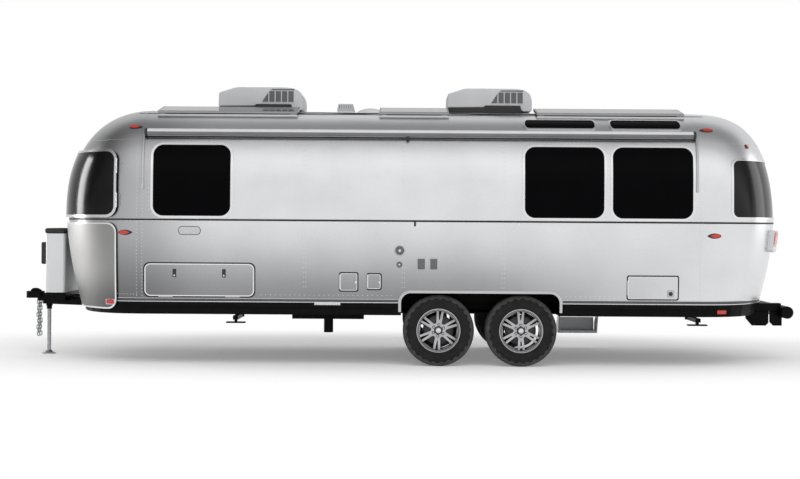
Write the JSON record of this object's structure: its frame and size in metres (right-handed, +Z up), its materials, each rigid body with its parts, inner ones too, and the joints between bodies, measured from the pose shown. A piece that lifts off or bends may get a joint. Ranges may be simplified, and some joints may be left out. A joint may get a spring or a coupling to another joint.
{
  "type": "travel caravan",
  "caption": "Rounded aluminium travel caravan on tandem axles, with hinged entry door and hatches, window guards, nose jack, stabilisers, awnings and roof coolers.",
  "frame": {"origin": "floor level under the middle of the overall length and width", "axes": "+X towards the tail, -X towards the hitch, +Y towards the curb side with the entry door, +Z up"},
  "size_m": [8.418, 2.6586, 2.9635],
  "materials": {
    "aluminium_skin": "polished riveted sheet",
    "dark_glass": "black tinted glass",
    "dark_acrylic": "black tinted sheet",
    "solar_glass": "dark panel face",
    "stainless": "brushed",
    "black_steel": "satin black paint",
    "grey_steel": "galvanised",
    "white_paint": "satin white paint",
    "white_plastic": "moulded",
    "black_plastic": "moulded",
    "awning": "rolled vinyl and aluminium",
    "alloy": "machined and painted",
    "tyre": "rubber",
    "plywood": "plywood"
  },
  "bodies": {
    "caravan": {"awning_curb": "awning", "awning_street": "awning", "axle_front": "black_steel", "axle_rear": "black_steel", "belly_pan": "black_steel", "chassis_frame": "black_steel", "cooler_front": "white_plastic", "cooler_rear": "white_plastic", "coupler": "black_steel", "floor_deck": "plywood", "front_end_shell": "aluminium_skin", "front_window": "dark_glass", "gas_housing": "white_paint", "jack_tube": "grey_steel", "rear_bumper": "black_steel", "rear_end_shell": "aluminium_skin", "rear_window": "dark_glass", "roof_dome": "white_plastic", "roof_panel": "aluminium_skin", "roof_vent": "white_plastic", "side_wall_curb": "aluminium_skin", "side_wall_street": "aluminium_skin", "solar_panel_front": "solar_glass", "solar_panel_middle": "solar_glass", "solar_panel_rear": "solar_glass", "stone_guard_curb": "stainless", "stone_guard_street": "stainless", "upper_window_curb_front": "dark_glass", "upper_window_curb_rear": "dark_glass", "upper_window_street_front": "dark_glass", "upper_window_street_rear": "dark_glass", "window_curb_front": "dark_glass", "window_curb_middle": "dark_glass", "window_street_front": "dark_glass", "window_street_middle": "dark_glass", "window_street_rear": "dark_glass"},
    "wheel_street_front": {"tyre_street_front": "tyre", "rim_street_front": "alloy"},
    "wheel_street_rear": {"tyre_street_rear": "tyre", "rim_street_rear": "alloy"},
    "wheel_curb_front": {"tyre_curb_front": "tyre", "rim_curb_front": "alloy"},
    "wheel_curb_rear": {"tyre_curb_rear": "tyre", "rim_curb_rear": "alloy"},
    "door": {"entry_door": "aluminium_skin", "door_window": "dark_glass"},
    "step": {"entry_step": "grey_steel"},
    "storage_lid": {"storage_hatch": "aluminium_skin"},
    "service_lid_front": {"service_hatch_front": "aluminium_skin"},
    "service_lid_rear": {"service_hatch_rear": "aluminium_skin"},
    "heater_lid": {"heater_hatch": "aluminium_skin"},
    "gas_cover": {"gas_lid": "black_plastic"},
    "guard_street": {"window_guard_street": "dark_acrylic"},
    "guard_curb": {"window_guard_curb": "dark_acrylic"},
    "jack": {"jack_leg": "grey_steel"},
    "leg_street_front": {"stabiliser_street_front": "black_steel"},
    "leg_street_rear": {"stabiliser_street_rear": "black_steel"},
    "leg_curb_front": {"stabiliser_curb_front": "black_steel"},
    "leg_curb_rear": {"stabiliser_curb_rear": "black_steel"}
  },
  "joints": [
    {"name": "spin_street_front", "type": "hinge", "parent": "caravan", "child": "wheel_street_front", "pos_m": [0.368, -1.088, 0.37085], "axis": [0, 1, 0], "continuous": true},
    {"name": "spin_street_rear", "type": "hinge", "parent": "caravan", "child": "wheel_street_rear", "pos_m": [1.226, -1.088, 0.37085], "axis": [0, 1, 0], "continuous": true},
    {"name": "spin_curb_front", "type": "hinge", "parent": "caravan", "child": "wheel_curb_front", "pos_m": [0.368, 1.088, 0.37085], "axis": [0, 1, 0], "continuous": true},
    {"name": "spin_curb_rear", "type": "hinge", "parent": "caravan", "child": "wheel_curb_rear", "pos_m": [1.226, 1.088, 0.37085], "axis": [0, 1, 0], "continuous": true},
    {"name": "door_swing", "type": "hinge", "parent": "caravan", "child": "door", "pos_m": [1.76818, 1.301, 0.735], "axis": [0, 0, 1], "range_deg": [0, 100]},
    {"name": "step_fold", "type": "hinge", "parent": "caravan", "child": "step", "pos_m": [1.86, 1.02, 0.492], "axis": [1, 0, 0], "range_deg": [-70, 0]},
    {"name": "storage_swing", "type": "hinge", "parent": "caravan", "child": "storage_lid", "pos_m": [-2.6, -1.27105, 0.71085], "axis": [1, 0, 0], "range_deg": [0, 110]},
    {"name": "service_front_swing", "type": "hinge", "parent": "caravan", "child": "service_lid_front", "pos_m": [-0.65686, -1.28203, 0.87303], "axis": [0, 0, -1], "range_deg": [0, 110]},
    {"name": "service_rear_swing", "type": "hinge", "parent": "caravan", "child": "service_lid_rear", "pos_m": [-0.37383, -1.28231, 0.8777], "axis": [0, 0, -1], "range_deg": [0, 110]},
    {"name": "heater_swing", "type": "hinge", "parent": "caravan", "child": "heater_lid", "pos_m": [2.31432, -1.27939, 0.83052], "axis": [0, 0, -1], "range_deg": [0, 110]},
    {"name": "gas_lid_swing", "type": "hinge", "parent": "caravan", "child": "gas_cover", "pos_m": [-3.929, 0, 1.345], "axis": [0, -1, 0], "range_deg": [0, 100]},
    {"name": "guard_street_swing", "type": "hinge", "parent": "caravan", "child": "guard_street", "pos_m": [-2.959, -1.31164, 1.525], "axis": [0, 0, 1], "range_deg": [0, 75]},
    {"name": "guard_curb_swing", "type": "hinge", "parent": "caravan", "child": "guard_curb", "pos_m": [-2.959, 1.31164, 1.525], "axis": [0, 0, -1], "range_deg": [0, 75]},
    {"name": "jack_slide", "type": "slide", "parent": "caravan", "child": "jack", "axis": [0, 0, 1], "range_m": [0, 0.3]},
    {"name": "leg_street_front_swing", "type": "hinge", "parent": "caravan", "child": "leg_street_front", "pos_m": [-1.76, -0.5, 0.478], "axis": [1, 0, 0], "range_deg": [0, 60]},
    {"name": "leg_street_rear_swing", "type": "hinge", "parent": "caravan", "child": "leg_street_rear", "pos_m": [3.1, -0.5, 0.478], "axis": [1, 0, 0], "range_deg": [0, 60]},
    {"name": "leg_curb_front_swing", "type": "hinge", "parent": "caravan", "child": "leg_curb_front", "pos_m": [-1.76, 0.5, 0.478], "axis": [-1, 0, 0], "range_deg": [0, 60]},
    {"name": "leg_curb_rear_swing", "type": "hinge", "parent": "caravan", "child": "leg_curb_rear", "pos_m": [3.1, 0.5, 0.478], "axis": [-1, 0, 0], "range_deg": [0, 60]}
  ]
}
